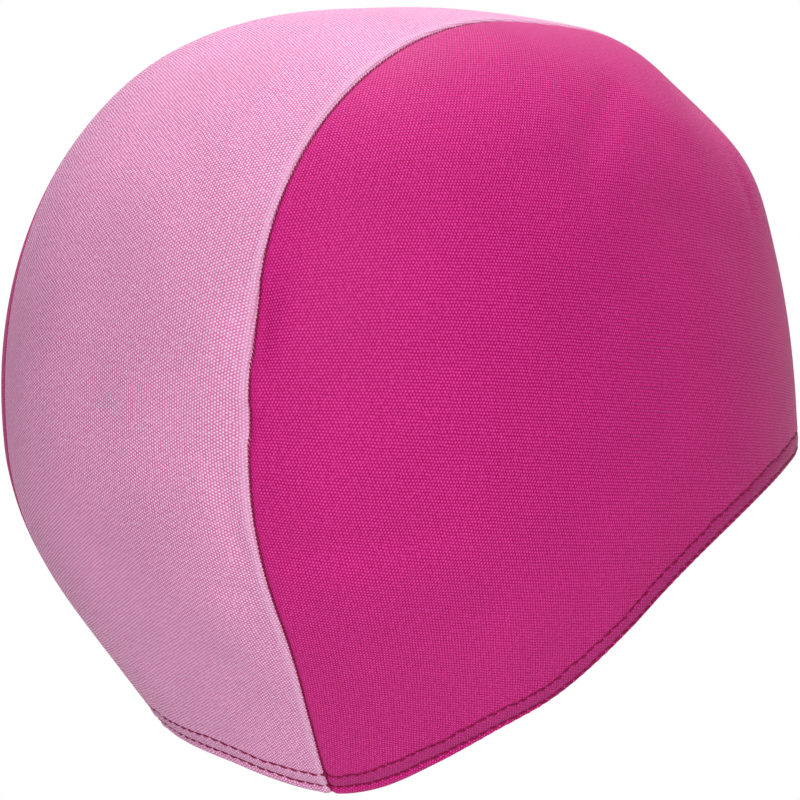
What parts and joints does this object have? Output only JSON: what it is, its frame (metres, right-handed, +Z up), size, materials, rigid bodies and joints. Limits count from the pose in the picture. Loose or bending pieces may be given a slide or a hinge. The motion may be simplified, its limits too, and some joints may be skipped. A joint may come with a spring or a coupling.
{
  "type": "swim cap",
  "caption": "Fabric swim cap in its worn form: a wide centre panel runs over the crown between side panels, above a turned, stitched hem that dips from the forehead to the nape.",
  "frame": {"origin": "on the inner face of the crown, where the cap rests on the top of the head", "axes": "+Z up, the wearer faces -Y, the wearer's left is +X"},
  "size_m": [0.1514, 0.1928, 0.1667],
  "materials": {
    "light_pink_knit": "matt fine stretch knit, light pink",
    "magenta_knit": "matt fine stretch knit, magenta"
  },
  "bodies": {
    "root": {"centre_panel": "light_pink_knit", "side_panel_left": "magenta_knit", "side_panel_right": "magenta_knit"}
  },
  "joints": []
}
